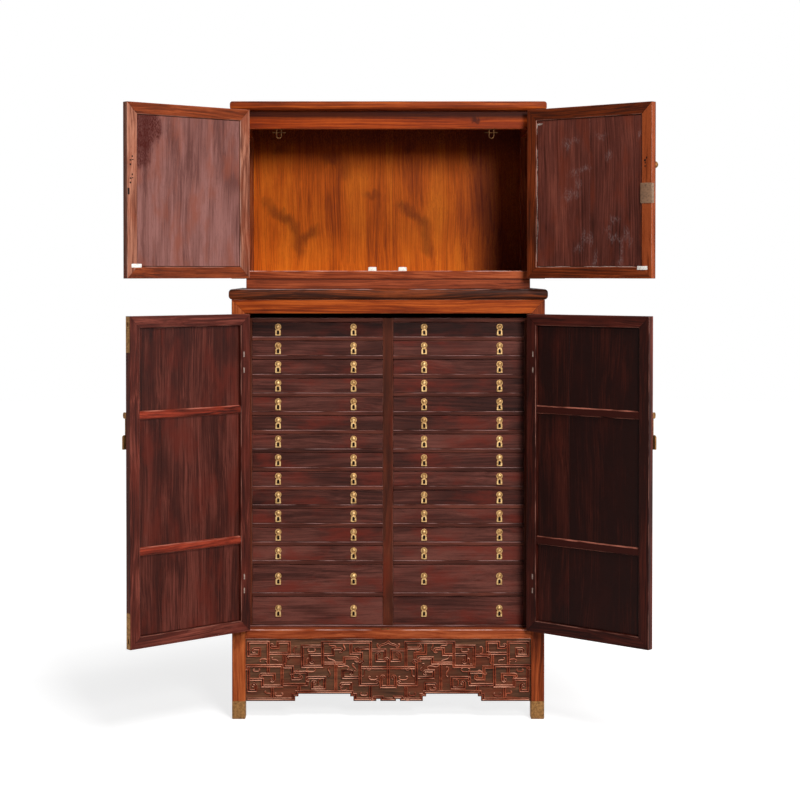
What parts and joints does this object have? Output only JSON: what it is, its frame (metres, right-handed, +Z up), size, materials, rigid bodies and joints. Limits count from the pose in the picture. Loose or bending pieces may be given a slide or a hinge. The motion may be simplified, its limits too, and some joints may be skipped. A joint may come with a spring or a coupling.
{
  "type": "compound cabinet",
  "caption": "Tall hardwood cabinet of a low hat chest standing on a base: mitred doors open on an empty chest and on a rack of shallow drawers with brass pulls, above a carved fret apron.",
  "frame": {"origin": "on the floor, under the middle of the cabinet's outline with its doors standing open", "axes": "+X to the viewer's right when facing the doors, +Y from the doors to the back, +Z up"},
  "size_m": [1.5494, 0.7562, 1.8809],
  "materials": {
    "amber_wood": "varnished, satin",
    "brass": "polished, lightly tarnished",
    "cap_wood": "waxed, satin",
    "dark_wood": "waxed, satin",
    "door_wood": "waxed, satin",
    "dull_brass": "tarnished",
    "panel_wood": "dull wax",
    "rack_wood": "dull wax",
    "warm_wood": "waxed, satin"
  },
  "bodies": {
    "cabinet": {"base_back_panel": "dark_wood", "base_front_bottom_rail": "warm_wood", "base_front_top_rail": "warm_wood", "base_left_end": "warm_wood", "base_right_end": "warm_wood", "base_top_board": "cap_wood", "carved_apron": "door_wood", "drawer_rack": "rack_wood", "front_left_foot_cap": "dull_brass", "front_right_foot_cap": "dull_brass", "hat_back_panel": "amber_wood", "hat_floor": "warm_wood", "hat_front_top_rail": "warm_wood", "hat_left_end": "warm_wood", "hat_right_end": "warm_wood", "hat_top_board": "warm_wood", "rear_left_foot_cap": "dull_brass", "rear_right_foot_cap": "dull_brass"},
    "lower_left_door": {"lower_left_door_frame": "door_wood", "lower_left_door_panel": "panel_wood"},
    "lower_right_door": {"lower_right_door_frame": "door_wood", "lower_right_door_panel": "panel_wood"},
    "upper_left_door": {"upper_left_door_frame": "door_wood", "upper_left_door_panel": "panel_wood"},
    "upper_right_door": {"upper_right_door_frame": "door_wood", "upper_right_door_panel": "panel_wood"},
    "lower_left_latch": {"lower_left_door_pendant": "brass"},
    "lower_right_latch": {"lower_right_door_pendant": "brass"},
    "upper_bolt": {"upper_flush_bolt": "brass"},
    "lower_bolt": {"lower_flush_bolt": "brass"},
    "drawer_left_01": {"drawer_left_01": "dark_wood"},
    "drawer_left_02": {"drawer_left_02": "dark_wood"},
    "drawer_left_03": {"drawer_left_03": "dark_wood"},
    "drawer_left_04": {"drawer_left_04": "dark_wood"},
    "drawer_left_05": {"drawer_left_05": "dark_wood"},
    "drawer_left_06": {"drawer_left_06": "dark_wood"},
    "drawer_left_07": {"drawer_left_07": "dark_wood"},
    "drawer_left_08": {"drawer_left_08": "dark_wood"},
    "drawer_left_09": {"drawer_left_09": "dark_wood"},
    "drawer_left_10": {"drawer_left_10": "dark_wood"},
    "drawer_left_11": {"drawer_left_11": "dark_wood"},
    "drawer_left_12": {"drawer_left_12": "dark_wood"},
    "drawer_left_13": {"drawer_left_13": "dark_wood"},
    "drawer_left_14": {"drawer_left_14": "dark_wood"},
    "drawer_left_15": {"drawer_left_15": "dark_wood"},
    "drawer_right_01": {"drawer_right_01": "dark_wood"},
    "drawer_right_02": {"drawer_right_02": "dark_wood"},
    "drawer_right_03": {"drawer_right_03": "dark_wood"},
    "drawer_right_04": {"drawer_right_04": "dark_wood"},
    "drawer_right_05": {"drawer_right_05": "dark_wood"},
    "drawer_right_06": {"drawer_right_06": "dark_wood"},
    "drawer_right_07": {"drawer_right_07": "dark_wood"},
    "drawer_right_08": {"drawer_right_08": "dark_wood"},
    "drawer_right_09": {"drawer_right_09": "dark_wood"},
    "drawer_right_10": {"drawer_right_10": "dark_wood"},
    "drawer_right_11": {"drawer_right_11": "dark_wood"},
    "drawer_right_12": {"drawer_right_12": "dark_wood"},
    "drawer_right_13": {"drawer_right_13": "dark_wood"},
    "drawer_right_14": {"drawer_right_14": "dark_wood"},
    "drawer_right_15": {"drawer_right_15": "dark_wood"}
  },
  "joints": [
    {"name": "lower_left_door_hinge", "type": "hinge", "parent": "cabinet", "child": "lower_left_door", "pos_m": [-0.4345, -0.07339, 0.75575], "axis": [0, 0, -1], "range_deg": [-138.8, 36]},
    {"name": "lower_right_door_hinge", "type": "hinge", "parent": "cabinet", "child": "lower_right_door", "pos_m": [0.4345, -0.07339, 0.75575], "axis": [0, 0, 1], "range_deg": [-138.8, 36]},
    {"name": "upper_left_door_hinge", "type": "hinge", "parent": "cabinet", "child": "upper_left_door", "pos_m": [-0.4345, -0.07339, 1.5981], "axis": [0, 0, -1], "range_deg": [-140.3, 36]},
    {"name": "upper_right_door_hinge", "type": "hinge", "parent": "cabinet", "child": "upper_right_door", "pos_m": [0.4345, -0.07339, 1.5981], "axis": [0, 0, 1], "range_deg": [-140.3, 36]},
    {"name": "lower_left_latch_swing", "type": "hinge", "parent": "lower_left_door", "child": "lower_left_latch", "pos_m": [-0.76176, -0.32732, 0.948], "axis": [0.7524, 0.6587, 0], "range_deg": [-12, 75]},
    {"name": "lower_right_latch_swing", "type": "hinge", "parent": "lower_right_door", "child": "lower_right_latch", "pos_m": [0.76176, -0.32732, 0.948], "axis": [0.7524, -0.6587, 0], "range_deg": [-12, 75]},
    {"name": "upper_bolt_slide", "type": "slide", "parent": "lower_left_door", "child": "upper_bolt", "axis": [0, 0, 1], "range_m": [0, 0.012]},
    {"name": "lower_bolt_slide", "type": "slide", "parent": "lower_left_door", "child": "lower_bolt", "axis": [0, 0, -1], "range_m": [0, 0.012]},
    {"name": "drawer_left_01_slide", "type": "slide", "parent": "cabinet", "child": "drawer_left_01", "axis": [0, -1, 0], "range_m": [0, 0.29]},
    {"name": "drawer_left_02_slide", "type": "slide", "parent": "cabinet", "child": "drawer_left_02", "axis": [0, -1, 0], "range_m": [0, 0.29]},
    {"name": "drawer_left_03_slide", "type": "slide", "parent": "cabinet", "child": "drawer_left_03", "axis": [0, -1, 0], "range_m": [0, 0.29]},
    {"name": "drawer_left_04_slide", "type": "slide", "parent": "cabinet", "child": "drawer_left_04", "axis": [0, -1, 0], "range_m": [0, 0.29]},
    {"name": "drawer_left_05_slide", "type": "slide", "parent": "cabinet", "child": "drawer_left_05", "axis": [0, -1, 0], "range_m": [0, 0.29]},
    {"name": "drawer_left_06_slide", "type": "slide", "parent": "cabinet", "child": "drawer_left_06", "axis": [0, -1, 0], "range_m": [0, 0.29]},
    {"name": "drawer_left_07_slide", "type": "slide", "parent": "cabinet", "child": "drawer_left_07", "axis": [0, -1, 0], "range_m": [0, 0.29]},
    {"name": "drawer_left_08_slide", "type": "slide", "parent": "cabinet", "child": "drawer_left_08", "axis": [0, -1, 0], "range_m": [0, 0.29]},
    {"name": "drawer_left_09_slide", "type": "slide", "parent": "cabinet", "child": "drawer_left_09", "axis": [0, -1, 0], "range_m": [0, 0.29]},
    {"name": "drawer_left_10_slide", "type": "slide", "parent": "cabinet", "child": "drawer_left_10", "axis": [0, -1, 0], "range_m": [0, 0.29]},
    {"name": "drawer_left_11_slide", "type": "slide", "parent": "cabinet", "child": "drawer_left_11", "axis": [0, -1, 0], "range_m": [0, 0.29]},
    {"name": "drawer_left_12_slide", "type": "slide", "parent": "cabinet", "child": "drawer_left_12", "axis": [0, -1, 0], "range_m": [0, 0.29]},
    {"name": "drawer_left_13_slide", "type": "slide", "parent": "cabinet", "child": "drawer_left_13", "axis": [0, -1, 0], "range_m": [0, 0.29]},
    {"name": "drawer_left_14_slide", "type": "slide", "parent": "cabinet", "child": "drawer_left_14", "axis": [0, -1, 0], "range_m": [0, 0.29]},
    {"name": "drawer_left_15_slide", "type": "slide", "parent": "cabinet", "child": "drawer_left_15", "axis": [0, -1, 0], "range_m": [0, 0.29]},
    {"name": "drawer_right_01_slide", "type": "slide", "parent": "cabinet", "child": "drawer_right_01", "axis": [0, -1, 0], "range_m": [0, 0.29]},
    {"name": "drawer_right_02_slide", "type": "slide", "parent": "cabinet", "child": "drawer_right_02", "axis": [0, -1, 0], "range_m": [0, 0.29]},
    {"name": "drawer_right_03_slide", "type": "slide", "parent": "cabinet", "child": "drawer_right_03", "axis": [0, -1, 0], "range_m": [0, 0.29]},
    {"name": "drawer_right_04_slide", "type": "slide", "parent": "cabinet", "child": "drawer_right_04", "axis": [0, -1, 0], "range_m": [0, 0.29]},
    {"name": "drawer_right_05_slide", "type": "slide", "parent": "cabinet", "child": "drawer_right_05", "axis": [0, -1, 0], "range_m": [0, 0.29]},
    {"name": "drawer_right_06_slide", "type": "slide", "parent": "cabinet", "child": "drawer_right_06", "axis": [0, -1, 0], "range_m": [0, 0.29]},
    {"name": "drawer_right_07_slide", "type": "slide", "parent": "cabinet", "child": "drawer_right_07", "axis": [0, -1, 0], "range_m": [0, 0.29]},
    {"name": "drawer_right_08_slide", "type": "slide", "parent": "cabinet", "child": "drawer_right_08", "axis": [0, -1, 0], "range_m": [0, 0.29]},
    {"name": "drawer_right_09_slide", "type": "slide", "parent": "cabinet", "child": "drawer_right_09", "axis": [0, -1, 0], "range_m": [0, 0.29]},
    {"name": "drawer_right_10_slide", "type": "slide", "parent": "cabinet", "child": "drawer_right_10", "axis": [0, -1, 0], "range_m": [0, 0.29]},
    {"name": "drawer_right_11_slide", "type": "slide", "parent": "cabinet", "child": "drawer_right_11", "axis": [0, -1, 0], "range_m": [0, 0.29]},
    {"name": "drawer_right_12_slide", "type": "slide", "parent": "cabinet", "child": "drawer_right_12", "axis": [0, -1, 0], "range_m": [0, 0.29]},
    {"name": "drawer_right_13_slide", "type": "slide", "parent": "cabinet", "child": "drawer_right_13", "axis": [0, -1, 0], "range_m": [0, 0.29]},
    {"name": "drawer_right_14_slide", "type": "slide", "parent": "cabinet", "child": "drawer_right_14", "axis": [0, -1, 0], "range_m": [0, 0.29]},
    {"name": "drawer_right_15_slide", "type": "slide", "parent": "cabinet", "child": "drawer_right_15", "axis": [0, -1, 0], "range_m": [0, 0.29]}
  ]
}
